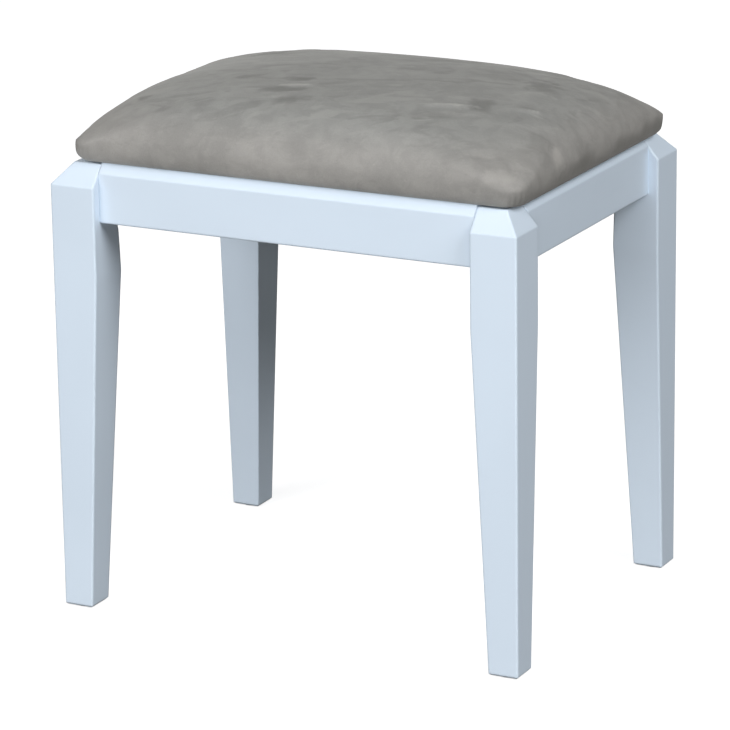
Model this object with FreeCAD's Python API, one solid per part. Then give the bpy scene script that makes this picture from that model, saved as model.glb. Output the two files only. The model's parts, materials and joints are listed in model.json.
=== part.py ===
# Vanity stool: painted wooden frame on four tapered legs, with a crowned upholstered seat.
# Millimetres. +Z is up, -Y is the front, the floor is z = 0 and the origin is the middle of the footprint.

import FreeCAD, Part
import math
import os

Vec = FreeCAD.Vector

# Overall size of the wooden frame
width = 440.0
depth = 333.0
frame_height = 403.0

# Feet
glide_radius = 9.0
glide_thickness = 1.5
nail_radius = 1.5
nail_length = 16.0
nail_head_radius = 3.5
nail_head_thickness = 0.6
nail_head_skin = 0.7

# Legs: square above the knee, their two inner faces tapering below it
leg_section = 42.5
foot_section = 27.5
foot_chamfer = 1.8
edge_radius = 1.5
leg_below_rail_top = 2.0
knee_below_rail = 50.0
bevel_run = 15.5
bevel_rise = 18.0
corner_flat = 6.0

# How the corner flat runs out below the rail: distance below it, and how wide the flat still is
corner_run_out = [(12.5, 2.3), (30.0, 1.0), (48.0, 0.0)]

# Rails between the legs
rail_height = 52.5
rail_thickness = 20.0
rail_recess = 9.5

# Dowels that join the rails to the legs
dowel_radius = 4.0
dowel_length = 30.0
dowel_offset = 14.0
dowel_clearance = 0.05

# Corner blocks
block_gap_to_leg = 2.2
block_thickness = 22.0
block_height = 38.0
block_below_rail_top = 3.0

# Screws that fix the blocks to the rails
block_screw_radius = 2.0
block_screw_head_radius = 4.0
block_screw_head_height = 2.6
block_screw_bite = 14.0
block_screw_web = 8.0
block_screw_from_corner = 68.0

# Hanger bolts that pull the legs into the corners
bolt_radius = 3.0
bolt_in_leg = 30.0
bolt_end_past_nut = 4.0
washer_radius = 9.0
washer_thickness = 1.6
nut_across_flats = 10.0
nut_height = 5.0

# How much of a pan head's height its rounding takes
pan_head_round = 0.6

# Screws that hold the seat down through the blocks
seat_screw_radius = 2.25
seat_screw_head_radius = 4.5
seat_screw_head_height = 3.0
seat_screw_bite = 9.0
seat_screw_from_bolt = 14.0

# Clearances round fasteners, and how far a blind hole runs past its screw
screw_clearance = 0.1
hole_clearance = 0.4
hole_end = 1.0

# How far cutting tools reach past what they cut
tool_margin = 20.0

# Seat: how far its widest line stays inside the frame, how far it lies off the middle, and its padded form
seat_inside_width = 6.3
seat_inside_depth = 10.2
seat_shift_x = 5.4
seat_shift_y = -2.0
seat_crown_height = 64.5
seat_widest_height = 15.6
seat_tuck_in = 5.7
seat_corner_radius = 22.0
seat_top_roundness = 0.98
crown_power = 2.15
crown_power_length = 3.63
crown_power_depth = 2.81

# Seat layers
cover_thickness = 1.2
soft_gap = 0.3
cover_wrap = 34.0
board_thickness = 12.0
dust_thickness = 0.4
dust_inside_rail = 4.0

# Staples
staple_crown = 10.0
staple_wire = 0.6
staple_leg = 8.0
cover_staple_pitch = 40.0
dust_staple_pitch = 56.0
staple_edge = 5.0
staple_depth_in_cover = 0.2

# Heights and places that follow from the sizes above
rail_top = frame_height
rail_bottom = rail_top - rail_height
leg_top = rail_top - leg_below_rail_top
knee = rail_bottom - knee_below_rail
bevel_bottom = leg_top - bevel_rise
rail_inner = rail_recess + rail_thickness
rail_middle = rail_recess + rail_thickness / 2
joint_height = rail_bottom + rail_height / 2
block_top = rail_top - block_below_rail_top
block_bottom = block_top - block_height
block_middle = (block_top + block_bottom) / 2
seat_half_length = width / 2 - seat_inside_width
seat_half_depth = depth / 2 - seat_inside_depth
board_bottom = rail_top + cover_thickness
board_top = board_bottom + board_thickness
bevel_slope = bevel_rise / bevel_run
diagonal = math.sqrt(2)
leg_flat_sum = 2 * leg_section - corner_flat
block_outer_sum = leg_flat_sum + block_gap_to_leg * diagonal
block_inner_sum = block_outer_sum + block_thickness * diagonal
block_centre = (block_outer_sum + block_inner_sum) / 4
seat_screw_along = block_centre + seat_screw_from_bolt / diagonal
seat_screw_across = block_centre - seat_screw_from_bolt / diagonal

corners = {
    "front_left": (-1, -1),
    "front_right": (1, -1),
    "rear_left": (-1, 1),
    "rear_right": (1, 1),
}


def mirrored(shape, side_x, side_y):
    # The front left corner's piece, turned over to another corner
    if side_x > 0:
        shape = shape.mirror(Vec(0, 0, 0), Vec(1, 0, 0))
    if side_y > 0:
        shape = shape.mirror(Vec(0, 0, 0), Vec(0, 1, 0))
    return shape


def to_front_left(shape):
    # From corner coordinates, measured inwards from the two outer faces, to the stool's own
    return shape.translated(Vec(-width / 2, -depth / 2, 0))


def prism(points, push):
    wire = Part.makePolygon([Vec(*p) for p in points] + [Vec(*points[0])])
    return Part.Face(wire).extrude(Vec(*push))


def cylinder(radius, length, start, direction):
    return Part.makeCylinder(radius, length, Vec(*start), Vec(*direction))


def rounded_rectangle(half_x, half_y, radius, z):
    # Four lines and four quarter arcs, counter-clockwise from the right side
    x0 = half_x - radius
    y0 = half_y - radius
    bend = radius * math.sqrt(0.5)
    edges = []
    for sx, sy in ((1, 1), (-1, 1), (-1, -1), (1, -1)):
        on_x = Vec(sx * half_x, sy * y0, z)
        on_y = Vec(sx * x0, sy * half_y, z)
        middle = Vec(sx * (x0 + bend), sy * (y0 + bend), z)
        first, last = (on_x, on_y) if sx * sy > 0 else (on_y, on_x)
        edges.append(Part.Arc(first, middle, last).toShape())
    sides = []
    for index, edge in enumerate(edges):
        following = edges[(index + 1) % 4]
        sides.append(edge)
        sides.append(Part.LineSegment(edge.Vertexes[-1].Point, following.Vertexes[0].Point).toShape())
    return Part.Wire(sides)


def slab(half_x, half_y, radius, bottom, thickness):
    return Part.Face(rounded_rectangle(half_x, half_y, radius, bottom)).extrude(Vec(0, 0, thickness))


def pad_form(inset):
    # Padded form of the seat, shrunk by an inset: rolled under at the bottom, crowned above
    lower_steps = 4
    upper_steps = 11
    wires = []
    for step in range(lower_steps):
        angle = math.radians(90.0 * step / lower_steps)
        tuck = seat_tuck_in * (1 - math.sin(angle)) + inset
        height = rail_top + inset + (seat_widest_height - inset) * (1 - math.cos(angle))
        size = (seat_half_length - tuck, seat_half_depth - tuck, seat_corner_radius - tuck)
        wires.append(rounded_rectangle(*size, height))
    for step in range(upper_steps):
        share = math.sin(math.radians(90.0 * step / upper_steps))
        left = 1 - share ** crown_power
        half_x = seat_half_length * left ** (1 / crown_power_length)
        half_y = seat_half_depth * left ** (1 / crown_power_depth)
        radius = seat_corner_radius * (1 - share) + seat_top_roundness * half_y * share
        rise = (seat_crown_height - seat_widest_height - inset) * share
        size = (half_x - inset, half_y - inset, radius - inset)
        wires.append(rounded_rectangle(*size, rail_top + seat_widest_height + rise))
    return Part.makeLoft(wires, True, False)


def bevel_tool(length):
    # Everything outside the sloping top bevel, for a face that looks along -Y
    rise = tool_margin * bevel_slope
    points = [
        (-tool_margin, -tool_margin, bevel_bottom - rise),
        (-tool_margin, -tool_margin, leg_top + rise),
        (-tool_margin, bevel_run + tool_margin, leg_top + rise),
    ]
    return prism(points, (length + 2 * tool_margin, 0, 0))


def eased_edges(shape):
    # The leg's edges that a hand meets: all but the foot's and the inner corner's
    return [
        e for e in shape.Edges
        if e.Length > foot_chamfer * 2
        and e.BoundBox.ZMax > glide_thickness + foot_chamfer * 2
        and min(e.BoundBox.XMin, e.BoundBox.YMin) < bevel_run * 1.01
    ]


def level_edges(shape, z):
    return [e for e in shape.Edges if all(abs(v.Point.z - z) < 0.001 for v in e.Vertexes)]


def corner_flat_tool():
    # Its outline as distances along the corner's diagonal, and heights
    corner = leg_section * diagonal
    outline = [(corner - corner_flat / diagonal, z) for z in (leg_top + tool_margin, rail_bottom)]
    outline += [(corner - left / diagonal, rail_bottom - below) for below, left in corner_run_out]
    outline += [(corner + tool_margin, z) for z in (outline[-1][1], leg_top + tool_margin)]
    reach = leg_section
    points = [((d - reach) / diagonal, (d + reach) / diagonal, z) for d, z in outline]
    return prism(points, (reach * diagonal, -reach * diagonal, 0))


def dowel_places():
    # Dowel axes at one corner: first into the front rail, then into the side rail
    places = []
    for offset in (-dowel_offset, dowel_offset):
        z = joint_height + offset
        places.append(((leg_section, rail_middle, z), (1, 0, 0)))
        places.append(((rail_middle, leg_section, z), (0, 1, 0)))
    return places


def dowel(place, direction, clearance):
    half = dowel_length / 2 + clearance
    start = [p - d * half for p, d in zip(place, direction)]
    return cylinder(dowel_radius + clearance, 2 * half, start, direction)


def taper_tool():
    # What the taper below the knee takes off the inner face that looks along +X
    drop = tool_margin * (knee - glide_thickness) / (leg_section - foot_section)
    points = [
        (foot_section - tool_margin, -tool_margin, glide_thickness - drop),
        (leg_section + tool_margin, -tool_margin, glide_thickness - drop),
        (leg_section + tool_margin, -tool_margin, knee),
        (leg_section, -tool_margin, knee),
    ]
    return prism(points, (0, leg_section + 2 * tool_margin, 0))


def leg():
    body = Part.makeBox(leg_section, leg_section, leg_top - glide_thickness, Vec(0, 0, glide_thickness))
    taper = taper_tool()
    bevel = bevel_tool(leg_section)
    for tool in (taper, bevel):
        body = body.cut(tool).cut(tool.mirror(Vec(0, 0, 0), Vec(1, -1, 0)))
    body = body.Solids[0]
    body = body.makeChamfer(foot_chamfer, level_edges(body, glide_thickness))
    body = body.makeFillet(edge_radius, eased_edges(body))
    body = body.cut(corner_flat_tool())
    for place, direction in dowel_places():
        body = body.cut(dowel(place, direction, dowel_clearance))
    start = (leg_flat_sum / 2 - (bolt_in_leg + hole_end) / diagonal,) * 2 + (block_middle,)
    body = body.cut(cylinder(bolt_radius + screw_clearance, bolt_in_leg + leg_section, start, (1, 1, 0)))
    middle = foot_section / 2
    nail_hole = nail_length + hole_end
    return body.cut(cylinder(nail_radius + screw_clearance, nail_hole, (middle, middle, 0), (0, 0, 1)))


def edges_along_x(shape, y, z):
    # The edges that run along X through the given place
    found = []
    for edge in shape.Edges:
        box = edge.BoundBox
        off_line = max(abs(box.YMin - y), abs(box.YMax - y), abs(box.ZMin - z), abs(box.ZMax - z))
        if off_line < 0.01:
            found.append(edge)
    return found


def rail(half_outer_length, half_outer_depth):
    # A rail that looks along -Y, between two legs
    half = half_outer_length - leg_section
    front = -half_outer_depth + rail_recess
    inner = front + rail_thickness
    body = Part.makeBox(2 * half, rail_thickness, rail_height, Vec(-half, front, rail_bottom))
    bevel = bevel_tool(2 * half_outer_length)
    body = body.cut(bevel.translated(Vec(-half_outer_length, -half_outer_depth, 0))).Solids[0]
    bevel_low = bevel_bottom + rail_recess * bevel_slope
    bevel_back = -half_outer_depth + (rail_top - bevel_bottom) / bevel_slope
    lines = [(front, rail_bottom), (inner, rail_bottom), (front, bevel_low), (bevel_back, rail_top)]
    body = body.makeFillet(edge_radius, [edge for y, z in lines for edge in edges_along_x(body, y, z)])
    for side in (-1, 1):
        for offset in (-dowel_offset, dowel_offset):
            place = (side * half, -half_outer_depth + rail_middle, joint_height + offset)
            body = body.cut(dowel(place, (1, 0, 0), dowel_clearance))
        start = (side * (half_outer_length - block_screw_from_corner), inner, block_middle)
        pilot = block_screw_radius + screw_clearance
        body = body.cut(cylinder(pilot, block_screw_bite + hole_end, start, (0, -1, 0)))
    return body


def turned_to_side(shape):
    # A piece that looks along -Y, turned to look along -X
    return shape.rotated(Vec(0, 0, 0), Vec(0, 0, 1), -90)


def corner_block():
    a, b, r = block_outer_sum, block_inner_sum, rail_inner
    outline = [(r, a - r), (a - r, r), (b - r, r), (r, b - r)]
    body = prism([(x, y, block_bottom) for x, y in outline], (0, 0, block_height))
    middle = (leg_section / 2, leg_section / 2, block_middle)
    body = body.cut(cylinder(bolt_radius + hole_clearance, block_inner_sum, middle, (1, 1, 0)))
    below = (seat_screw_along, seat_screw_across, block_bottom - tool_margin)
    drilled = block_height + 2 * tool_margin
    body = body.cut(cylinder(seat_screw_radius + hole_clearance, drilled, below, (0, 0, 1)))
    for place, direction in block_screw_places():
        hole = cylinder(block_screw_radius + hole_clearance, block_screw_web + hole_end, place, direction)
        backwards = [-d for d in direction]
        pocket = cylinder(block_screw_head_radius + hole_clearance, block_inner_sum, place, backwards)
        body = body.cut(hole.fuse(pocket))
    return body


def block_screw_places():
    # Where each screw's head sits in its pocket, and the way that the screw points
    along = block_screw_from_corner
    across = rail_inner + block_screw_web
    return [((along, across, block_middle), (0, -1, 0)), ((across, along, block_middle), (-1, 0, 0))]


def screw(radius, length, head_radius, head_height, place, direction):
    # Pan head screw: its head sits on the place and its shank goes along the direction
    axis = Vec(*direction)
    axis.normalize()
    seat = Vec(*place)
    shank = Part.makeCylinder(radius, length, seat, axis)
    head = Part.makeCylinder(head_radius, head_height, seat - axis * head_height, axis)
    rounds = [e for e in head.Edges if e.Curve.TypeId == "Part::GeomCircle"]
    rim = [e for e in rounds if (e.Curve.Center - seat).Length > head_height / 2]
    head = head.makeFillet(head_height * pan_head_round, rim)
    return head.fuse(shank).removeSplitter()


def block_screws():
    length = block_screw_web + block_screw_bite
    size = (block_screw_radius, length, block_screw_head_radius, block_screw_head_height)
    return Part.makeCompound([screw(*size, place, direction) for place, direction in block_screw_places()])


def hanger_bolt():
    start = (leg_flat_sum / 2 - bolt_in_leg / diagonal,) * 2 + (block_middle,)
    outside = block_gap_to_leg + block_thickness + washer_thickness + nut_height + bolt_end_past_nut
    return cylinder(bolt_radius, bolt_in_leg + outside, start, (1, 1, 0))


def ring(outer, inner, thickness, start, direction):
    return cylinder(outer, thickness, start, direction).cut(cylinder(inner, thickness, start, direction))


def bolt_washer():
    start = (block_inner_sum / 2, block_inner_sum / 2, block_middle)
    return ring(washer_radius, bolt_radius + hole_clearance, washer_thickness, start, (1, 1, 0))


def bolt_nut():
    corner = nut_across_flats / math.cos(math.radians(30)) / 2
    angles = [math.radians(60 * index) for index in range(6)]
    body = prism([(corner * math.cos(a), corner * math.sin(a), 0) for a in angles], (0, 0, nut_height))
    body = body.cut(cylinder(bolt_radius + screw_clearance, nut_height, (0, 0, 0), (0, 0, 1)))
    body = body.rotated(Vec(0, 0, 0), Vec(-1, 1, 0), 90)
    along = block_inner_sum / 2 + washer_thickness / diagonal
    return body.translated(Vec(along, along, block_middle))


def seat_screw():
    length = board_bottom + seat_screw_bite - block_bottom
    place = (seat_screw_along, seat_screw_across, block_bottom)
    size = (seat_screw_radius, length, seat_screw_head_radius, seat_screw_head_height)
    return screw(*size, place, (0, 0, 1))


def glide_disc():
    middle = foot_section / 2
    start = (middle, middle, 0)
    body = cylinder(glide_radius, glide_thickness, start, (0, 0, 1))
    body = body.cut(cylinder(nail_radius + screw_clearance, glide_thickness, start, (0, 0, 1)))
    recess = glide_thickness - nail_head_skin
    return body.cut(cylinder(nail_head_radius + screw_clearance, recess, start, (0, 0, 1)))


def glide_nail():
    middle = foot_section / 2
    head_top = glide_thickness - nail_head_skin
    head_bottom = head_top - nail_head_thickness
    head = cylinder(nail_head_radius, nail_head_thickness, (middle, middle, head_bottom), (0, 0, 1))
    shank = cylinder(nail_radius, nail_length - head_bottom, (middle, middle, head_bottom), (0, 0, 1))
    return head.fuse(shank).removeSplitter()


def staple(x, y, top, turned):
    # A staple driven upwards: its crown's lower face at the given height, its legs above it
    half = staple_crown / 2
    w = staple_wire
    crown = Part.makeBox(staple_crown, w, w, Vec(-half, -w / 2, 0))
    body = crown
    for start in (-half, half - w):
        body = body.fuse(Part.makeBox(w, w, staple_leg, Vec(start, -w / 2, 0)))
    body = body.removeSplitter()
    if turned:
        body = body.rotated(Vec(0, 0, 0), Vec(0, 0, 1), 90)
    return body.translated(Vec(x, y, top))


def evenly(half, pitch):
    count = max(2, int(2 * half / pitch) + 1)
    return [-half + 2 * half * i / (count - 1) for i in range(count)]


def staple_rows(half_x, half_y, pitch, height):
    # Staples along the four sides of a rectangle, clear of its corners and of the seat screws
    staples = []
    for x in evenly(half_x - leg_section, pitch):
        staples += [staple(x, side * half_y, height, False) for side in (-1, 1)]
    for y in evenly(half_y - leg_section, pitch):
        staples += [staple(side * half_x, y, height, True) for side in (-1, 1)]
    return staples


def seat_layers():
    # Board, foam, cover, dust cover and their staples, first about the seat's own middle
    tuck = seat_tuck_in + cover_thickness + soft_gap
    board_x = seat_half_length - tuck
    board_y = seat_half_depth - tuck
    board_radius = seat_corner_radius - tuck
    board = slab(board_x, board_y, board_radius, board_bottom, board_thickness)

    wrap_x = board_x - cover_wrap
    wrap_y = board_y - cover_wrap
    start = Vec(-width / 2, -depth / 2, rail_top - tool_margin)
    outer = pad_form(0).cut(Part.makeBox(width, depth, tool_margin, start))
    hollow = pad_form(cover_thickness)
    mouth = slab(wrap_x, wrap_y, board_radius, rail_top - tool_margin, tool_margin + board_thickness)
    cover = outer.cut(hollow).cut(mouth)

    below = rail_top - tool_margin
    board_room = slab(board_x, board_y, board_radius, below, board_top - below)
    foam = pad_form(cover_thickness + soft_gap).cut(board_room)

    dust_x = width / 2 - rail_inner - dust_inside_rail - abs(seat_shift_x)
    dust_y = depth / 2 - rail_inner - dust_inside_rail - abs(seat_shift_y)
    dust = slab(dust_x, dust_y, board_radius / 2, rail_top - dust_thickness, dust_thickness)

    cover_row = (wrap_x + staple_edge, wrap_y + staple_edge)
    dust_row = (dust_x - staple_edge, dust_y - staple_edge)
    cover_staples = staple_rows(*cover_row, cover_staple_pitch, rail_top + staple_depth_in_cover)
    dust_staples = staple_rows(*dust_row, dust_staple_pitch, rail_top - dust_thickness - staple_wire)
    driven = Part.makeCompound(cover_staples + dust_staples)
    layers = {
        "seat_board": board.cut(driven),
        "seat_foam": foam,
        "seat_cover": cover.cut(driven),
        "dust_cover": dust.cut(Part.makeCompound(dust_staples)),
        "cover_staples": Part.makeCompound(cover_staples),
        "dust_cover_staples": Part.makeCompound(dust_staples),
    }
    shift = Vec(seat_shift_x, seat_shift_y, 0)
    layers = {name: shape.translated(shift) for name, shape in layers.items()}

    for side_x, side_y in corners.values():
        start = (seat_screw_along, seat_screw_across, block_top)
        reach = board_bottom + seat_screw_bite + hole_end - block_top
        tight = cylinder(seat_screw_radius + screw_clearance, reach, start, (0, 0, 1))
        loose = cylinder(seat_screw_radius + hole_clearance, board_bottom - block_top, start, (0, 0, 1))
        tight = mirrored(to_front_left(tight), side_x, side_y)
        loose = mirrored(to_front_left(loose), side_x, side_y)
        layers["seat_board"] = layers["seat_board"].cut(tight)
        layers["seat_cover"] = layers["seat_cover"].cut(loose)
        layers["dust_cover"] = layers["dust_cover"].cut(loose)
    return layers


def at_all_corners(shape):
    return Part.makeCompound([mirrored(to_front_left(shape), sx, sy) for sx, sy in corners.values()])


def solids_of(shape):
    found = shape.Solids
    return found[0] if len(found) == 1 else Part.makeCompound(found)


pieces = {}
for corner, (side_x, side_y) in corners.items():
    pieces["leg_" + corner] = mirrored(to_front_left(leg()), side_x, side_y)
    pieces["corner_block_" + corner] = mirrored(to_front_left(corner_block()), side_x, side_y)
    pieces["glide_" + corner] = mirrored(to_front_left(glide_disc()), side_x, side_y)

long_rail = rail(width / 2, depth / 2)
short_rail = turned_to_side(rail(depth / 2, width / 2))
pieces["rail_front"] = long_rail
pieces["rail_rear"] = mirrored(long_rail, -1, 1)
pieces["rail_left"] = short_rail
pieces["rail_right"] = mirrored(short_rail, 1, -1)

pieces["block_screws"] = at_all_corners(block_screws())
pieces["rail_dowels"] = at_all_corners(Part.makeCompound([dowel(p, d, 0) for p, d in dowel_places()]))
pieces["hanger_bolts"] = at_all_corners(hanger_bolt())
pieces["bolt_washers"] = at_all_corners(bolt_washer())
pieces["bolt_nuts"] = at_all_corners(bolt_nut())
pieces["seat_screws"] = at_all_corners(seat_screw())
pieces["glide_nails"] = at_all_corners(glide_nail())
pieces.update(seat_layers())

os.makedirs("parts", exist_ok=True)
for name, shape in pieces.items():
    shape = solids_of(shape)
    shape.exportStep("parts/" + name + ".step")
    print(f"{name}: {len(shape.Solids)} solids, {shape.Volume:.1f} mm3, valid {shape.isValid()}")
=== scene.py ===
# Vanity stool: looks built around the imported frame. Metres, +Z up, -Y is the front.
import json
import math

import bpy
from mathutils import Matrix, Vector, kdtree, noise

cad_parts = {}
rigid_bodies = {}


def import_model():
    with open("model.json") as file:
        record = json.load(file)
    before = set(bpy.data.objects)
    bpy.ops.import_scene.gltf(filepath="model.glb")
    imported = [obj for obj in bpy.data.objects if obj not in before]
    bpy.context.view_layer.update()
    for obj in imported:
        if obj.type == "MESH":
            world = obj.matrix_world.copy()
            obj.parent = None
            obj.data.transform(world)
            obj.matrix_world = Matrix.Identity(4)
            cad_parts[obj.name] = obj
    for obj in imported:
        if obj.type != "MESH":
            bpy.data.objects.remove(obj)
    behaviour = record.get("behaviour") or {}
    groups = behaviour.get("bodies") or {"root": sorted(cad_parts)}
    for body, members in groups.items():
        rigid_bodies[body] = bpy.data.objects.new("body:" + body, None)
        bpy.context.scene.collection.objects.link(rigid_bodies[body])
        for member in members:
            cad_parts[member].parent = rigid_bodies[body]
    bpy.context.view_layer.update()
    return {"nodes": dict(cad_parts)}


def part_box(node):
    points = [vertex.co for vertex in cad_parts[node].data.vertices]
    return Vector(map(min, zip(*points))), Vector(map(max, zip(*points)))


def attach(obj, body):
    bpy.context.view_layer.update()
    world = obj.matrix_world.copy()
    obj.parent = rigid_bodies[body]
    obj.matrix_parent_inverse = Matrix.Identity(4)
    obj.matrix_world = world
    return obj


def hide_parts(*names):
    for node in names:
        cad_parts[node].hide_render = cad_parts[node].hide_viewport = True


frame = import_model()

nodes = frame["nodes"]
cornerSides = [(-1, -1), (1, -1), (-1, 1), (1, 1)]
print("frame loaded:", len(nodes), "nodes")


# Small helpers for objects

def deselectAll():
    for item in bpy.context.view_layer.objects:
        item.select_set(False)


def takeUp(item):
    # The only selected object, and the active one
    deselectAll()
    item.select_set(True)
    bpy.context.view_layer.objects.active = item
    return item


def addModifier(item, name, kind, **settings):
    modifier = item.modifiers.new(name, kind)
    for key, value in settings.items():
        setattr(modifier, key, value)
    return modifier


def applyModifier(item, name):
    takeUp(item)
    bpy.ops.object.modifier_apply(modifier=name)


def linkNew(name, data):
    item = bpy.data.objects.new(name, data)
    bpy.context.scene.collection.objects.link(item)
    return item


def meshPiece(name, points, faces):
    mesh = bpy.data.meshes.new(name)
    mesh.from_pydata([tuple(p) for p in points], [], faces)
    mesh.validate()
    return linkNew(name, mesh)


def setPoints(piece, places):
    piece.data.vertices.foreach_set("co", places)
    piece.data.update()


def smoothShade(piece, degrees=180):
    takeUp(piece)
    bpy.ops.object.shade_smooth_by_angle(angle=math.radians(degrees))


def smoothStep(low, high, value):
    share = min(1.0, max(0.0, (value - low) / (high - low)))
    return share * share * (3 - 2 * share)


# Small helpers for shader nodes

def addNode(tree, kind, inputs=None, **settings):
    node = tree.nodes.new("ShaderNode" + kind)
    for key, value in settings.items():
        setattr(node, key, value)
    for key, source in (inputs or {}).items():
        socket = node.inputs[key]
        if isinstance(source, bpy.types.NodeSocket):
            tree.links.new(source, socket)
        else:
            socket.default_value = source
    return node


def maths(tree, operation, first, second=0.0, clamp=False):
    return addNode(tree, "Math", {0: first, 1: second}, operation=operation, use_clamp=clamp).outputs[0]


def spread(tree, value, low, high, toLow=0.0, toHigh=1.0):
    # Smooth step from one range of values to another
    inputs = {"Value": value, "From Min": low, "From Max": high, "To Min": toLow, "To Max": toHigh}
    return addNode(tree, "MapRange", inputs, interpolation_type="SMOOTHSTEP").outputs["Result"]


def mixColour(tree, share, first, second, blend="MIX"):
    node = addNode(tree, "Mix", data_type="RGBA", blend_type=blend, clamp_factor=True)
    for index, source in ((0, share), (6, first), (7, second)):
        if isinstance(source, bpy.types.NodeSocket):
            tree.links.new(source, node.inputs[index])
        else:
            node.inputs[index].default_value = source if index == 0 else (*source[:3], 1.0)
    return node.outputs[2]


def newGroup(name, inputs, outputs):
    group = bpy.data.node_groups.new(name, "ShaderNodeTree")
    for label, kind, value in inputs:
        socket = group.interface.new_socket(label, in_out="INPUT", socket_type="NodeSocket" + kind)
        if value is not None:
            socket.default_value = value
    for label, kind in outputs:
        group.interface.new_socket(label, in_out="OUTPUT", socket_type="NodeSocket" + kind)
    return group, group.nodes.new("NodeGroupInput"), group.nodes.new("NodeGroupOutput")


def useGroup(tree, group, inputs):
    node = tree.nodes.new("ShaderNodeGroup")
    node.node_tree = group
    for key, source in inputs.items():
        if isinstance(source, bpy.types.NodeSocket):
            tree.links.new(source, node.inputs[key])
        else:
            node.inputs[key].default_value = source
    return node


def newMaterial(name, **constants):
    # Material with one Principled shader, whose constant sockets are set here
    material = bpy.data.materials.new(name)
    material.use_nodes = True
    tree = material.node_tree
    shader = tree.nodes["Principled BSDF"]
    for label, value in constants.items():
        shader.inputs[label.replace("_", " ")].default_value = value
    return material, tree, shader


def feedShader(tree, shader, **sources):
    for label, source in sources.items():
        tree.links.new(source, shader.inputs[label.replace("_", " ")])


def objectPlace(tree):
    return addNode(tree, "TexCoord").outputs["Object"]


def turnPlace(tree, place, degrees):
    return addNode(tree, "Mapping", {"Vector": place, "Rotation": (0, 0, math.radians(degrees))}).outputs[0]


# Effects that several materials share

def patchesGroup():
    # Soft patches: a mask from stretched noise, cut between two levels
    group, entry, leave = newGroup(
        "softPatches",
        [("Vector", "Vector", None), ("Stretch", "Vector", (1, 1, 1)), ("Scale", "Float", 20.0),
         ("Detail", "Float", 2.0), ("Roughness", "Float", 0.5), ("Distortion", "Float", 0.0),
         ("Low", "Float", 0.4), ("High", "Float", 0.6)],
        [("Mask", "Float"), ("Raw", "Float")],
    )
    stretched = addNode(group, "VectorMath", {0: entry.outputs["Vector"], 1: entry.outputs["Stretch"]},
                        operation="MULTIPLY").outputs[0]
    cloud = addNode(group, "TexNoise", {
        "Vector": stretched, "Scale": entry.outputs["Scale"], "Detail": entry.outputs["Detail"],
        "Roughness": entry.outputs["Roughness"], "Distortion": entry.outputs["Distortion"],
    }).outputs[0]
    mask = spread(group, cloud, entry.outputs["Low"], entry.outputs["High"])
    group.links.new(mask, leave.inputs["Mask"])
    group.links.new(cloud, leave.inputs["Raw"])
    return group


def grainGroup():
    # Sawn wood whose grain runs along the vector's X
    group, entry, leave = newGroup(
        "sawnGrain",
        [("Vector", "Vector", None), ("Light", "Color", (0.8, 0.6, 0.4, 1)),
         ("Dark", "Color", (0.5, 0.3, 0.2, 1)), ("Ring Scale", "Float", 60.0)],
        [("Color", "Color"), ("Height", "Float")],
    )
    along = addNode(group, "VectorMath", {0: entry.outputs["Vector"], 1: (0.06, 1, 1)},
                    operation="MULTIPLY").outputs[0]
    drift = addNode(group, "TexNoise", {"Vector": along, "Scale": 9.0, "Detail": 2.0}).outputs["Color"]
    bent = addNode(group, "VectorMath", {0: drift, 1: (0.05, 0.05, 0.05), 2: along},
                   operation="MULTIPLY_ADD").outputs[0]
    rings = addNode(group, "TexWave", {
        "Vector": bent, "Scale": entry.outputs["Ring Scale"], "Distortion": 2.0, "Detail": 2.0,
        "Detail Scale": 1.5,
    }, wave_type="RINGS", rings_direction="X", wave_profile="SAW").outputs["Fac"]
    pores = addNode(group, "TexNoise", {"Vector": along, "Scale": 900.0, "Detail": 3.0}).outputs[0]
    poreMask = spread(group, pores, 0.55, 0.72)
    share = maths(group, "MULTIPLY_ADD", rings, 0.6)
    share.node.inputs[2].default_value = 0.1
    colour = mixColour(group, share, entry.outputs["Light"], entry.outputs["Dark"])
    darker = mixColour(group, 1.0, colour, (0.62, 0.55, 0.5), "MULTIPLY")
    group.links.new(mixColour(group, poreMask, colour, darker), leave.inputs["Color"])
    raised = maths(group, "MULTIPLY", rings, 0.35)
    height = maths(group, "SUBTRACT", raised, maths(group, "MULTIPLY", poreMask, 0.5))
    group.links.new(height, leave.inputs["Height"])
    return group


def easedGroup():
    # Rounds the shading across an edge and marks where the edge is
    group, entry, leave = newGroup(
        "easedEdges",
        [("Radius", "Float", 0.001)],
        [("Normal", "Vector"), ("Edge", "Float")],
    )
    rounded = addNode(group, "Bevel", {"Radius": entry.outputs["Radius"]}, samples=6).outputs[0]
    plain = addNode(group, "NewGeometry").outputs["Normal"]
    facing = addNode(group, "VectorMath", {0: rounded, 1: plain}, operation="DOT_PRODUCT").outputs["Value"]
    group.links.new(rounded, leave.inputs["Normal"])
    group.links.new(spread(group, facing, 0.99, 0.80), leave.inputs["Edge"])
    return group


softPatches = patchesGroup()
sawnGrain = grainGroup()
easedEdges = easedGroup()


def patches(tree, place, **inputs):
    return useGroup(tree, softPatches, {"Vector": place, **inputs}).outputs["Mask"]


def rawNoise(tree, place, **inputs):
    return useGroup(tree, softPatches, {"Vector": place, **inputs}).outputs["Raw"]


def bump(tree, height, strength, distance, normal=None):
    inputs = {"Height": height, "Strength": strength, "Distance": distance}
    if normal is not None:
        inputs["Normal"] = normal
    return addNode(tree, "Bump", inputs).outputs[0]


# Painted wood: satin pale blue-white, brushed along each member

paintValues = {
    "colour": (0.690, 0.790, 0.900),
    "shade": (0.672, 0.770, 0.878),
    # Painted highlight: a slightly lighter colour for the edges
    "edgeHighlight": (0.700, 0.800, 0.905),
    "roughness": (0.42, 0.56),
    "edgeRadius": 0.0022,
    "strokeDepth": 0.00003,
}


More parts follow.
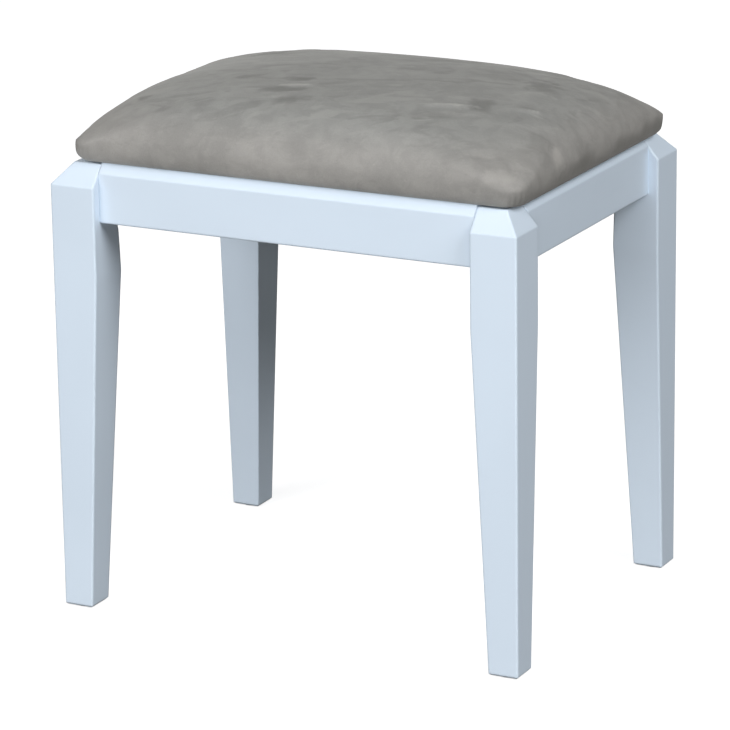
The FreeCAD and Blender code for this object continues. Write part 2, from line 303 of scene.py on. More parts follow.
def paintedWood(name, strokeStretch):
    v = paintValues
    material, tree, shader = newMaterial(name, Specular_IOR_Level=0.30)
    place = objectPlace(tree)
    cloudy = patches(tree, place, Scale=7.0, Detail=3.0, Low=0.35, High=0.68)
    strokes = rawNoise(tree, place, Stretch=strokeStretch, Scale=420.0, Detail=3.0, Roughness=0.6)
    orange = rawNoise(tree, place, Scale=700.0, Detail=1.0)
    eased = useGroup(tree, easedEdges, {"Radius": v["edgeRadius"]})
    colour = mixColour(tree, cloudy, v["colour"], v["shade"])
    # Painted highlight: the eased edges are painted a little lighter
    highlightShare = maths(tree, "MULTIPLY", eased.outputs["Edge"], 0.6)
    colour = mixColour(tree, highlightShare, colour, v["edgeHighlight"])
    height = maths(tree, "MULTIPLY_ADD", orange, 0.35)
    tree.links.new(strokes, height.node.inputs[2])
    rough = spread(tree, strokes, 0.3, 0.7, *v["roughness"])
    normal = bump(tree, height, 0.5, v["strokeDepth"], eased.outputs["Normal"])
    feedShader(tree, shader, Base_Color=colour, Roughness=rough, Normal=normal)
    return material


# Brushed faux suede: nap in patches, finger marks on the crown, fine fibres, a crown painted darker as
# shade, and painted light and shade from the pad's tone attribute

suedeValues = {
    "colour": (0.306, 0.302, 0.289),
    "dark": (0.262, 0.259, 0.247),
    "light": (0.360, 0.353, 0.337),
    # The dark mark colour also paints shade, and the light brushed colour paints highlights, via the tone
    "markAndShade": (0.172, 0.170, 0.160),
    "brushedAndHighlight": (0.430, 0.417, 0.395),
    # Painted shade: the crown is painted darker than the roll below it
    "crownShadeTint": (0.945, 0.962, 0.965),
    "rollTint": (1.000, 0.985, 0.980),
}


def suede():
    v = suedeValues
    material, tree, shader = newMaterial(
        "brushedSuede", Sheen_Weight=0.20, Sheen_Roughness=0.50, Sheen_Tint=(0.86, 0.84, 0.80, 1),
        Specular_IOR_Level=0.15,
    )
    place = objectPlace(tree)
    height = addNode(tree, "SeparateXYZ", {0: place}).outputs["Z"]
    crown = spread(tree, height, 0.430, 0.458)
    broad = patches(tree, place, Scale=9.0, Detail=3.0, Roughness=0.55, Distortion=0.4, Low=0.36, High=0.64)
    nap = rawNoise(tree, place, Scale=55.0, Detail=4.0, Roughness=0.62, Distortion=0.6)
    napMask = spread(tree, nap, 0.36, 0.64)
    turned = turnPlace(tree, place, -20)
    marks = rawNoise(tree, turned, Stretch=(0.40, 1, 1), Scale=46.0, Detail=3.0, Roughness=0.55,
                     Distortion=0.9)
    markMask = spread(tree, marks, 0.55, 0.68)
    streakMask = spread(tree, marks, 0.43, 0.33)
    flecks = rawNoise(tree, turned, Stretch=(0.5, 1, 1), Scale=190.0, Detail=2.0, Roughness=0.6,
                      Distortion=0.5)
    fleckMask = spread(tree, flecks, 0.62, 0.74)
    pinMask = spread(tree, flecks, 0.36, 0.28)
    fibres = rawNoise(tree, place, Scale=1500.0, Detail=2.0, Roughness=0.7)
    fibreMask = spread(tree, fibres, 0.3, 0.7)
    # Tone attribute: nap marks, with painted light and shade along the folds and low on the right side
    tone = addNode(tree, "Attribute", attribute_name="napAndShadeTone").outputs["Fac"]
    colour = mixColour(tree, broad, v["dark"], v["light"])
    colour = mixColour(tree, 0.30, colour, v["colour"])
    napColour = mixColour(tree, napMask, v["dark"], v["light"])
    colour = mixColour(tree, 0.36, colour, napColour)
    soft = maths(tree, "MULTIPLY_ADD", crown, 0.20)
    soft.node.inputs[2].default_value = 0.12
    colour = mixColour(tree, maths(tree, "MULTIPLY", markMask, soft), colour, v["markAndShade"])
    colour = mixColour(tree, maths(tree, "MULTIPLY", streakMask, soft), colour, v["brushedAndHighlight"])
    colour = mixColour(tree, maths(tree, "MULTIPLY", fleckMask, 0.16), colour, v["brushedAndHighlight"])
    colour = mixColour(tree, maths(tree, "MULTIPLY", pinMask, 0.12), colour, v["markAndShade"])
    # Painted shade where the tone is below 0 and painted highlight above it, mixed with real nap marks
    pressedNapAndShade = spread(tree, tone, 0.0, -1.0, 0.0, 0.85)
    raised = spread(tree, tone, 0.0, 1.0, 0.0, 0.90)
    colour = mixColour(tree, pressedNapAndShade, colour, v["markAndShade"])
    colour = mixColour(tree, raised, colour, v["brushedAndHighlight"])
    # Painted shade: the crown is darker than the roll, set by height
    paintedCrownShade = mixColour(tree, crown, v["rollTint"], v["crownShadeTint"])
    colour = mixColour(tree, 1.0, colour, paintedCrownShade, "MULTIPLY")
    fibreTone = mixColour(tree, fibreMask, (0.93, 0.93, 0.93), (1.06, 1.06, 1.06))
    colour = mixColour(tree, 1.0, colour, fibreTone, "MULTIPLY")
    relief = maths(tree, "ADD", maths(tree, "MULTIPLY", fibres, 0.35), maths(tree, "MULTIPLY", nap, 1.0))
    normal = bump(tree, relief, 0.35, 0.0006)
    rough = spread(tree, nap, 0.3, 0.7, 0.86, 0.97)
    feedShader(tree, shader, Base_Color=colour, Roughness=rough, Normal=normal)
    return material


# Bare wood of the blocks and dowels, and plywood

def bareWood():
    material, tree, shader = newMaterial("bareBeech", Specular_IOR_Level=0.3)
    place = addNode(tree, "VectorMath", {0: objectPlace(tree)}, operation="ABSOLUTE").outputs[0]
    turned = turnPlace(tree, place, 45)
    grain = useGroup(tree, sawnGrain, {
        "Vector": turned, "Light": (0.68, 0.49, 0.31, 1), "Dark": (0.52, 0.34, 0.19, 1), "Ring Scale": 55.0,
    })
    rough = rawNoise(tree, turned, Scale=60.0, Detail=3.0)
    feedShader(tree, shader, Base_Color=grain.outputs["Color"],
               Roughness=spread(tree, rough, 0.3, 0.7, 0.62, 0.8),
               Normal=bump(tree, grain.outputs["Height"], 0.4, 0.0003))
    return material


def plywood():
    material, tree, shader = newMaterial("birchPlywood", Specular_IOR_Level=0.3)
    place = objectPlace(tree)
    grain = useGroup(tree, sawnGrain, {
        "Vector": place, "Light": (0.66, 0.50, 0.33, 1), "Dark": (0.55, 0.39, 0.24, 1), "Ring Scale": 18.0,
    })
    height = addNode(tree, "SeparateXYZ", {0: place}).outputs["Z"]
    layer = maths(tree, "SINE", maths(tree, "MULTIPLY", height, 2 * math.pi / 0.0034))
    layerMask = spread(tree, layer, -0.2, 0.2)
    facing = addNode(tree, "SeparateXYZ", {0: addNode(tree, "NewGeometry").outputs["Normal"]}).outputs["Z"]
    edgeOn = spread(tree, maths(tree, "ABSOLUTE", facing), 0.5, 0.2)
    banded = mixColour(tree, layerMask, grain.outputs["Color"], (0.36, 0.24, 0.14))
    colour = mixColour(tree, edgeOn, grain.outputs["Color"], banded)
    feedShader(tree, shader, Base_Color=colour, Roughness=spread(tree, layerMask, 0, 1, 0.65, 0.8),
               Normal=bump(tree, grain.outputs["Height"], 0.3, 0.0003))
    return material


# Foam, dust cover cloth, metals and nylon

def foamStuff():
    material, tree, shader = newMaterial("creamFoam", Specular_IOR_Level=0.2)
    place = objectPlace(tree)
    cells = addNode(tree, "TexVoronoi", {"Vector": place, "Scale": 850.0}).outputs["Distance"]
    cellMask = spread(tree, cells, 0.15, 0.6)
    broad = patches(tree, place, Scale=14.0, Detail=2.0)
    colour = mixColour(tree, cellMask, (0.52, 0.46, 0.30), (0.80, 0.74, 0.55))
    colour = mixColour(tree, maths(tree, "MULTIPLY", broad, 0.3), colour, (0.70, 0.62, 0.42))
    feedShader(tree, shader, Base_Color=colour, Roughness=spread(tree, cells, 0, 1, 0.98, 0.86),
               Normal=bump(tree, cells, 0.6, 0.0006))
    return material


def dustCloth():
    # Spunbond cloth with rows of pressed dots
    material, tree, shader = newMaterial("spunbondCloth", Specular_IOR_Level=0.3, Sheen_Weight=0.1)
    place = objectPlace(tree)
    turned = turnPlace(tree, place, 45)
    cells = addNode(tree, "TexVoronoi", {"Vector": turned, "Scale": 620.0, "Randomness": 0.0})
    dots = cells.outputs["Distance"]
    dotMask = spread(tree, dots, 0.20, 0.34)
    threads = rawNoise(tree, place, Stretch=(1, 0.25, 1), Scale=1300.0, Detail=3.0, Roughness=0.7)
    cloudy = patches(tree, place, Scale=60.0, Detail=3.0)
    colour = mixColour(tree, threads, (0.012, 0.012, 0.014), (0.040, 0.040, 0.044))
    colour = mixColour(tree, maths(tree, "MULTIPLY", cloudy, 0.4), colour, (0.030, 0.030, 0.032))
    colour = mixColour(tree, dotMask, (0.010, 0.010, 0.011), colour)
    height = maths(tree, "MULTIPLY_ADD", threads, 0.4)
    tree.links.new(dotMask, height.node.inputs[2])
    feedShader(tree, shader, Base_Color=colour, Roughness=spread(tree, dotMask, 0, 1, 0.5, 0.85),
               Normal=bump(tree, height, 0.5, 0.0002))
    return material


def platedSteel(name, colour, stain, stretch):
    material, tree, shader = newMaterial(name, Metallic=1.0)
    place = objectPlace(tree)
    cloudy = patches(tree, place, Scale=260.0, Detail=3.0, Low=0.38, High=0.66)
    scratches = rawNoise(tree, place, Stretch=stretch, Scale=2400.0, Detail=2.0)
    eased = useGroup(tree, easedEdges, {"Radius": 0.0003})
    tone = mixColour(tree, cloudy, colour, stain)
    tone = mixColour(tree, maths(tree, "MULTIPLY", eased.outputs["Edge"], 0.5), tone, (0.82, 0.82, 0.80))
    feedShader(tree, shader, Base_Color=tone, Roughness=spread(tree, cloudy, 0, 1, 0.26, 0.42),
               Normal=bump(tree, scratches, 0.25, 0.00005, eased.outputs["Normal"]))
    return material


def nylonStuff():
    material, tree, shader = newMaterial("nylon", Specular_IOR_Level=0.45, Subsurface_Weight=0.05)
    place = objectPlace(tree)
    scuff = patches(tree, place, Scale=300.0, Detail=4.0, Low=0.45, High=0.7)
    low = spread(tree, addNode(tree, "SeparateXYZ", {0: place}).outputs["Z"], 0.0006, 0.0)
    eased = useGroup(tree, easedEdges, {"Radius": 0.0004})
    colour = mixColour(tree, maths(tree, "MULTIPLY", scuff, low), (0.60, 0.60, 0.575), (0.38, 0.37, 0.34))
    feedShader(tree, shader, Base_Color=colour, Roughness=spread(tree, scuff, 0, 1, 0.40, 0.62),
               Normal=bump(tree, scuff, 0.2, 0.0001, eased.outputs["Normal"]))
    return material


materials = {
    "paintLegs": paintedWood("satinPaintLegs", (1, 1, 0.05)),
    "paintLong": paintedWood("satinPaintLongRails", (0.05, 1, 1)),
    "paintShort": paintedWood("satinPaintShortRails", (1, 0.05, 1)),
    "suede": suede(),
    "bareWood": bareWood(),
    "plywood": plywood(),
    "foam": foamStuff(),
    "dustCloth": dustCloth(),
    "zinc": platedSteel("zincSteel", (0.58, 0.58, 0.55), (0.48, 0.49, 0.47), (1, 1, 0.1)),
    "staple": platedSteel("stapleSteel", (0.52, 0.52, 0.53), (0.40, 0.40, 0.41), (0.1, 1, 1)),
    "nylon": nylonStuff(),
}


def dress(piece, key):
    piece.data.materials.clear()
    piece.data.materials.append(materials[key])


nodeFinishes = {
    "leg_": "paintLegs",
    "rail_front": "paintLong",
    "rail_rear": "paintLong",
    "rail_left": "paintShort",
    "rail_right": "paintShort",
    "rail_dowels": "bareWood",
    "corner_block_": "bareWood",
    "glide_nails": "zinc",
    "glide_": "nylon",
    "seat_board": "plywood",
    "cover_staples": "staple",
    "dust_cover_staples": "staple",
}
for nodeName, item in nodes.items():
    for start, key in nodeFinishes.items():
        if nodeName.startswith(start):
            dress(item, key)
            break
print("materials made:", len(bpy.data.materials))


# Seat: one padded form, drawn as rings, for the cover and for the foam inside it

seatValues = {
    "railTop": 0.403,
    "middle": (0.0054, -0.0020),
    "half": (0.2137, 0.1563),
    "tuckIn": 0.0057,
    "widestHeight": 0.0156,
    "crownHeight": 0.0645,
    "crownPower": 2.15,
    "lengthPower": 3.63,
    "depthPower": 2.81,
    "cornerRadius": 0.022,
    "topRoundness": 0.98,
    "mouthInside": 0.0355,
    "coverThickness": 0.0012,
    "softGap": 0.0003,
}
coverSteps = {"quarter": 144, "under": 5, "roll": 8, "side": 68}
foamSteps = {"quarter": 60, "under": 4, "roll": 6, "side": 36}


def ringOutline(halfX, halfY, radius, count):
    # Points of a rounded rectangle, anticlockwise from its right side, a quarter at a time, closer on
    # its corners
    radius = max(0.0004, min(radius, halfX * 0.98, halfY * 0.98))
    short = halfY - radius
    bend = math.pi * radius
    whole = short + bend + halfX - radius
    quarter = []
    for step in range(count + 1):
        travel = whole * step / count
        if travel < short:
            quarter.append((halfX, travel))
        elif travel < short + bend:
            angle = (travel - short) / (2 * radius)
            quarter.append((halfX - radius + radius * math.cos(angle), short + radius * math.sin(angle)))
        else:
            quarter.append((max(0.0, whole - travel), halfY))
    backwards = quarter[::-1]
    points = quarter[:-1] + [(-x, y) for x, y in backwards[:-1]]
    return points + [(-x, -y) for x, y in quarter[:-1]] + [(x, -y) for x, y in backwards[:-1]]


def padProfile(share):
    # How far the pad's long and short sides have drawn in, at a share of the crown's height
    v = seatValues
    left = max(0.0, 1 - share ** v["crownPower"])
    return v["half"][0] * left ** (1 / v["lengthPower"]), v["half"][1] * left ** (1 / v["depthPower"])


def evenShares(count):
    # Shares of the crown's height that stand evenly along its curve
    rise = seatValues["crownHeight"] - seatValues["widestHeight"]
    shares = [math.sin(math.radians(90.0 * step / 1500)) for step in range(1501)]
    travelled = [0.0]
    for low, high in zip(shares, shares[1:]):
        run = padProfile(high)[1] - padProfile(low)[1]
        travelled.append(travelled[-1] + math.hypot(run, (high - low) * rise))
    found = []
    index = 0
    for step in range(count):
        while travelled[index] < travelled[-1] * step / count:
            index += 1
        found.append(shares[index])
    return found


def seatRings(inset, steps, lowInset, lift=0.0):
    # From the lower edge of the roll up to the crown: each ring is its points and its height
    v = seatValues
    rings = []
    for step in range(steps["roll"]):
        angle = math.radians(90.0 * step / steps["roll"])
        drawnIn = lowInset + (inset - lowInset) * math.sin(angle)
        tuck = v["tuckIn"] * (1 - math.sin(angle)) + drawnIn
        z = v["railTop"] + lift + (v["widestHeight"] - lift) * (1 - math.cos(angle))
        outline = ringOutline(v["half"][0] - tuck, v["half"][1] - tuck, v["cornerRadius"] - tuck,
                              steps["quarter"])
        rings.append((outline, z))
    for share in evenShares(steps["side"]):
        x, y = padProfile(share)
        radius = v["cornerRadius"] * (1 - share) + v["topRoundness"] * y * share
        z = v["railTop"] + v["widestHeight"] + (v["crownHeight"] - v["widestHeight"] - inset) * share
        rings.append((ringOutline(x - inset, y - inset, radius - inset, steps["quarter"]), z))
    return rings, v["railTop"] + v["crownHeight"] - inset


def ringMesh(name, rings, topZ=None, bottomZ=None):
    # Closes the rings into one skin, with a pole at the top and, where asked for, one at the bottom
    cx, cy = seatValues["middle"]
    points = [(x + cx, y + cy, z) for outline, z in rings for x, y in outline]
    count = len(rings[0][0])
    faces = []
    for ring in range(len(rings) - 1):
        low = ring * count
        for index in range(count):
            following = (index + 1) % count
            faces.append((low + index, low + following, low + count + following, low + count + index))
    last = (len(rings) - 1) * count
    if topZ is not None:
        points.append((cx, cy, topZ))
        faces += [(last + i, last + (i + 1) % count, len(points) - 1) for i in range(count)]
    if bottomZ is not None:
        points.append((cx, cy, bottomZ))
        faces += [((i + 1) % count, i, len(points) - 1) for i in range(count)]
    return meshPiece(name, points, faces)


def underRings(lowInset, steps):
    # The cover turned under the board, from its open mouth outwards to the roll
    v = seatValues
    rings = []
    edgeX = v["half"][0] - v["tuckIn"] - lowInset
    edgeY = v["half"][1] - v["tuckIn"] - lowInset
    for step in range(steps["under"]):
        away = v["mouthInside"] * (1 - step / steps["under"])
        radius = v["cornerRadius"] - v["tuckIn"]
        rings.append((ringOutline(edgeX - away, edgeY - away, radius, steps["quarter"]), v["railTop"]))
    return rings


def coverSkin(name, inset, closed, steps):
    upper, top = seatRings(inset, steps, inset)
    rings = underRings(inset, steps) + upper
    return ringMesh(name, rings, top, rings[0][1] if closed else None)


# A short cloth simulation of the cover: only its push along the normals is used, and that is kept small

swellValues = {
    "inset": 0.0014,
    "voxel": 0.005,
    "pressure": 4.0,
    "loose": 0.003,
    "frames": 20,
    "swell": 0.0012,
    "crease": 0.00025,
    "broadReach": 0.026,
    "quality": 6,
    "mass": 0.3,
    "stretchStiffness": 25,
    "bendStiffness": 3.0,
    "heldHeight": 0.003,
}


def swollenMoves():
    # Start points of the simulated pad and how far each one moved
    v = swellValues
    pad = coverSkin("padTrial", v["inset"], True, foamSteps)
    addModifier(pad, "even", "REMESH", mode="VOXEL", voxel_size=v["voxel"])
    applyModifier(pad, "even")
    starts = [vertex.co.copy() for vertex in pad.data.vertices]
    facings = [vertex.normal.copy() for vertex in pad.data.vertices]
    held = pad.vertex_groups.new(name="held")
    low = seatValues["railTop"] + v["heldHeight"]
    held.add([i for i, p in enumerate(starts) if p.z < low], 1.0, "REPLACE")
    cloth = addModifier(pad, "cloth", "CLOTH")
    cloth.settings.quality = v["quality"]
    cloth.settings.mass = v["mass"]
    cloth.settings.tension_stiffness = v["stretchStiffness"]
    cloth.settings.compression_stiffness = v["stretchStiffness"]
    cloth.settings.bending_stiffness = v["bendStiffness"]
    cloth.settings.shrink_min = -v["loose"]
    cloth.settings.use_pressure = True
    cloth.settings.uniform_pressure_force = v["pressure"]
    cloth.settings.vertex_group_mass = "held"
    cloth.settings.effector_weights.gravity = 0
    cloth.point_cache.frame_start = 1
    cloth.point_cache.frame_end = v["frames"]
    for step in range(1, v["frames"] + 1):
        bpy.context.scene.frame_set(step)
    final = pad.evaluated_get(bpy.context.evaluated_depsgraph_get())
    ends = [vertex.co.copy() for vertex in final.data.vertices]
    pushes = [(end - start).dot(facing) for start, end, facing in zip(starts, ends, facings)]
    bpy.context.scene.frame_set(1)
    bpy.data.objects.remove(pad)
    tree = kdtree.KDTree(len(starts))
    for index, point in enumerate(starts):
        tree.insert(point, index)
    tree.balance()
    moves = []
    creases = []
    for index, start in enumerate(starts):
        around = [pushes[other] for point, other, away in tree.find_range(start, v["broadReach"])]
        broad = sum(around) / len(around)
        crease = max(-v["crease"], min(v["crease"], pushes[index] - broad))
        creases.append(crease)
        moves.append(facings[index] * (max(0.0, min(v["swell"], broad)) + crease))
    print("pad swelled: mean push %.2f mm, largest %.2f mm, creases up to %.2f mm" % (
        1000 * sum(pushes) / len(pushes), 1000 * max(pushes), 1000 * max(creases)))
    return tree, moves


def followMoves(piece, tree, moves):
    places = []
    for vertex in piece.data.vertices:
        total = Vector((0, 0, 0))
        weightSum = 0.0
        for point, index, away in tree.find_n(vertex.co, 8):
            weight = 1.0 / (away * away + 1e-6)
            total += moves[index] * weight
            weightSum += weight
        places.extend(vertex.co + total / weightSum)
    setPoints(piece, places)


# Folds that sitting has left in the cover, drawn from left to right: a low ridge with a dip on its near
# side. These and the soft dents are listed here.

# Folds: start, end, width, lift and dip
foldValues = [
    ((0.0928, -0.0746, 0.4638), (0.1347, -0.0623, 0.4615), 0.0045, 0.0008, 0.0010),
    ((0.1563, -0.0495, 0.4593), (0.1878, -0.0271, 0.4519), 0.0045, 0.0008, 0.0008),
    ((-0.0549, -0.0737, 0.4648), (-0.0169, -0.0571, 0.4663), 0.0040, 0.0005, 0.0007),
    ((0.1580, -0.1340, 0.4439), (0.2020, -0.1110, 0.4392), 0.0040, 0.0006, 0.0009),
    ((-0.0330, -0.1010, 0.4610), (-0.0060, -0.0980, 0.4612), 0.0030, 0.0004, 0.0005),
    ((0.1800, 0.1230, 0.4415), (0.2049, 0.0561, 0.4428), 0.0040, 0.0007, 0.0005),
    ((0.0100, 0.0700, 0.4660), (0.0800, 0.0900, 0.4640), 0.0050, 0.0005, 0.0006),
    ((-0.1500, 0.0500, 0.4580), (-0.1100, 0.0800, 0.4590), 0.0045, 0.0005, 0.0006),
]
# Soft dents and swells: place, reach and push
fullnessValues = [
    ((-0.2050, -0.1500, 0.4080), 0.013, 0.0022),
    ((0.2144, 0.1440, 0.4110), 0.016, 0.0012),
    ((-0.1850, -0.1000, 0.4420), 0.050, -0.0009),
    ((-0.1450, 0.0300, 0.4605), 0.048, -0.0018),
    ((-0.0764, 0.0593, 0.4650), 0.050, -0.0009),
    ((0.1249, 0.0852, 0.4595), 0.035, -0.0008),
    ((0.1750, 0.1150, 0.4460), 0.030, 0.0012),
    ((-0.0089, 0.0823, 0.4633), 0.040, 0.0010),
    ((0.0500, 0.0850, 0.4630), 0.040, 0.0008),
]
cornerPleats = {"count": 6, "depth": 0.0009, "fadeLow": 0.0075, "fadeHigh": 0.0150}


def foldHeight(place, facing, fold):
    first, last, width, lift, dipDepth = fold
    start = Vector(first)
    along = Vector(last) - start
    length = along.length
    along = along / length
    away = place - start
    share = away.dot(along) / length
    if share < -0.1 or share > 1.1 or away.length > length + 0.03:
        return 0.0
    across = along.cross(facing).dot(away) + 0.0016 * noise.noise(place * 55)
    ends = smoothStep(-0.1, 0.25, share) * smoothStep(1.1, 0.75, share)
    ridge = lift * math.exp(-(across / width) ** 2)
    dip = dipDepth * math.exp(-((across - 1.9 * width) / (1.5 * width)) ** 2)
    return ends * (ridge - dip)


def pleatDepth(place):
    # Small pleats where the cover is drawn round each lower corner
    v = seatValues
    pleats = cornerPleats
    x = abs(place.x - v["middle"][0]) - (v["half"][0] - v["cornerRadius"])
    y = abs(place.y - v["middle"][1]) - (v["half"][1] - v["cornerRadius"])
    height = place.z - v["railTop"]
    if x < 0 or y < 0 or height > pleats["fadeHigh"]:
        return 0.0
    turn = math.atan2(y, x) / (math.pi / 2)
    fade = smoothStep(pleats["fadeHigh"], pleats["fadeLow"], height)
    fade *= smoothStep(0, 0.15, turn) * smoothStep(1, 0.85, turn)
    wave = 0.5 - 0.5 * math.cos(2 * math.pi * pleats["count"] * turn + 2.0 * noise.noise(place * 40))
    return pleats["depth"] * fade * wave


def pressFolds(piece):
    points = [(vertex.co.copy(), vertex.normal.copy()) for vertex in piece.data.vertices]
    places = []
    for place, facing in points:
        lift = sum(foldHeight(place, facing, fold) for fold in foldValues) - pleatDepth(place)
        for middle, reach, push in fullnessValues:
            lift += push * math.exp(-((place - Vector(middle)).length / reach) ** 2)
        lift += 0.00022 * noise.noise(Vector((place.x * 34, place.y * 60, place.z * 60)))
        places.extend(place + facing * (lift * smoothStep(0.001, 0.004, place.z - seatValues["railTop"])))
    setPoints(piece, places)


# Marks in the nap, partly where hands have brushed it and partly painted light and shade: the dark patches
# beside the folds and across the rear right of the crown are painted shade, and the thin light streaks along
# the fold ridges and the light spots at the right front are painted highlights.
# Columns: middle, half length, half width and tone, dark below 0

napAndShadeMarks = [
    ((-0.0877, -0.0510, 0.4653), 0.013, 0.010, -0.6),
    ((-0.0368, -0.0466, 0.4668), 0.014, 0.009, -0.8),
    ((-0.0400, -0.0780, 0.4640), 0.026, 0.008, -0.6),
    ((-0.0220, -0.0985, 0.4612), 0.020, 0.009, -0.7),
    ((-0.0350, -0.0650, 0.4655), 0.024, 0.0026, 0.8),
    ((-0.1294, -0.1269, 0.4494), 0.010, 0.007, -0.5),
    ((-0.1656, -0.0976, 0.4494), 0.009, 0.008, -0.8),
    ((0.1130, -0.0960, 0.4590), 0.040, 0.010, -0.5),
    ((0.1140, -0.0690, 0.4628), 0.024, 0.0030, 0.9),
    ((0.1370, -0.0550, 0.4615), 0.015, 0.016, -0.7),
    ((0.1720, -0.0385, 0.4560), 0.020, 0.0028, 0.7),
    ((0.1555, 0.0295, 0.4603), 0.016, 0.028, -0.6),
    ((0.2030, -0.0850, 0.4430), 0.010, 0.024, -0.4),
    ((0.2145, -0.0740, 0.4310), 0.006, 0.012, 0.7),
    ((0.2160, -0.0300, 0.4270), 0.010, 0.022, -0.3),
    ((0.1850, -0.1300, 0.4400), 0.022, 0.0028, 0.6),
    ((0.1950, -0.1500, 0.4270), 0.016, 0.011, 0.4),
    ((-0.1100, 0.0600, 0.4610), 0.022, 0.012, -0.5),
    ((0.0400, 0.0800, 0.4640), 0.030, 0.010, -0.4),
    ((-0.1900, 0.0100, 0.4480), 0.012, 0.020, -0.4),
    ((0.1150, 0.0500, 0.4640), 0.040, 0.050, -0.30),
    ((0.1650, 0.1000, 0.4520), 0.040, 0.040, -0.35),
]


def markNapAndShade(piece):
    turned = Vector((math.cos(math.radians(20)), math.sin(math.radians(20)), 0))
    v = seatValues
    tones = []
    for vertex in piece.data.vertices:
        place = vertex.co
        ragged = 0.55 * noise.noise(place * 85) + 0.30 * noise.noise(place * 210)
        tone = 0.0
        for middle, halfLength, halfWidth, strength in napAndShadeMarks:
            away = place - Vector(middle)
            if away.length > 1.7 * halfLength + 0.03:
                continue
            along = away.dot(turned)
            reach = math.hypot(along / halfLength, (away - turned * along).length / halfWidth) + ragged
            tone += strength * smoothStep(1.35, 0.25, reach)
            tone -= 0.25 * strength * math.exp(-((reach - 1.35) / 0.10) ** 2)
        # Painted shade: darker low along the right side of the pad, under its roll
        side = smoothStep(0.88, 0.98, (place.x - v["middle"][0]) / v["half"][0])
        height = place.z - v["railTop"] + 0.012 * noise.noise(place * 45)
        tone -= 0.8 * side * smoothStep(0.024, 0.004, height)
        tones.append(max(-1.0, min(1.0, tone)))
    layer = piece.data.attributes.new("napAndShadeTone", "FLOAT", "POINT")
    layer.data.foreach_set("value", tones)


padMoves = swollenMoves()
print("pad moves ready")


def shapePad(piece):
    if padMoves:
        followMoves(piece, *padMoves)
    pressFolds(piece)


seatCover = coverSkin("seatCover", swellValues["inset"], False, coverSteps)
shapePad(seatCover)
markNapAndShade(seatCover)
addModifier(seatCover, "cloth", "SOLIDIFY", thickness=seatValues["coverThickness"], offset=-1.0)
applyModifier(seatCover, "cloth")
smoothShade(seatCover)
dress(seatCover, "suede")
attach(seatCover, "root")
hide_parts("seat_cover")
print("seat cover:", len(seatCover.data.polygons), "faces")


# Foam on the board, and down round its edges

def makeSeatFoam():
    v = seatValues
    inset = v["coverThickness"] + v["softGap"] + swellValues["inset"]
    upper, top = seatRings(inset, foamSteps, inset, v["coverThickness"] + v["softGap"])
    upper = upper[2:]
    boardLow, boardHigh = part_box("seat_board")
    halfX = (boardHigh.x - boardLow.x) / 2 + v["softGap"]
    halfY = (boardHigh.y - boardLow.y) / 2 + v["softGap"]
    radius = v["cornerRadius"] - v["tuckIn"] - v["coverThickness"]
    rest = boardHigh.z + v["softGap"]
    rings = []
    for share in (0.25, 0.5, 0.75, 0.95, 1.0):
        rings.append((ringOutline(halfX * share, halfY * share, radius, foamSteps["quarter"]), rest))
    for share in (0.3, 0.6, 0.9):
        height = rest + (upper[0][1] - rest) * share
        rings.append((ringOutline(halfX, halfY, radius, foamSteps["quarter"]), height))
    foam = ringMesh("seatFoam", rings + upper, top, rest)
    shapePad(foam)
    return foam


seatFoam = makeSeatFoam()
smoothShade(seatFoam, 50)
dress(seatFoam, "foam")
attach(seatFoam, "root")
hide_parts("seat_foam")


# Dust cover stapled under the board, with a slight sag

dustValues = {
    "sag": 0.0014,
    "crease": 0.0004,
    "thickness": 0.0004,
    "columns": 120,
    "rows": 86,
    "cornerRadius": 0.013,
}


def makeDustCover():
    v = dustValues
    low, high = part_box("dust_cover")
    halfX = (high.x - low.x) / 2
    halfY = (high.y - low.y) / 2
    cx = (high.x + low.x) / 2
    cy = (high.y + low.y) / 2
    points = []
    for row in range(v["rows"] + 1):
        for column in range(v["columns"] + 1):
            x = halfX * (2 * column / v["columns"] - 1)
            y = halfY * (2 * row / v["rows"] - 1)
            cornerX = max(0.0, abs(x) - (halfX - v["cornerRadius"]))
            cornerY = max(0.0, abs(y) - (halfY - v["cornerRadius"]))
            reach = math.hypot(cornerX, cornerY)
            widest = max(cornerX, cornerY)
            if reach > 0 and cornerX > 0 and cornerY > 0:
                x -= math.copysign(cornerX * (1 - widest / reach), x)
                y -= math.copysign(cornerY * (1 - widest / reach), y)
            inner = max(0.0, (1 - (x / halfX) ** 2) * (1 - (y / halfY) ** 2))
            crease = noise.noise(Vector((x * 22, y * 22, 3.7))) * v["crease"]
            z = high.z - v["thickness"] - v["sag"] * inner ** 0.6 + crease * inner
            points.append((x + cx, y + cy, z))
    wide = v["columns"] + 1
    faces = []
    for row in range(v["rows"]):
        for column in range(v["columns"]):
            first = row * wide + column
            faces.append((first + wide, first + wide + 1, first + 1, first))
    return meshPiece("dustCover", points, faces)


dustCover = makeDustCover()
addModifier(dustCover, "cloth", "SOLIDIFY", thickness=dustValues["thickness"], offset=-1.0)
applyModifier(dustCover, "cloth")
smoothShade(dustCover, 40)
dress(dustCover, "dustCloth")
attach(dustCover, "root")
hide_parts("dust_cover")
print("seat layers made")


# Screws, bolts, washers and nuts under the seat, each modelled once and copied

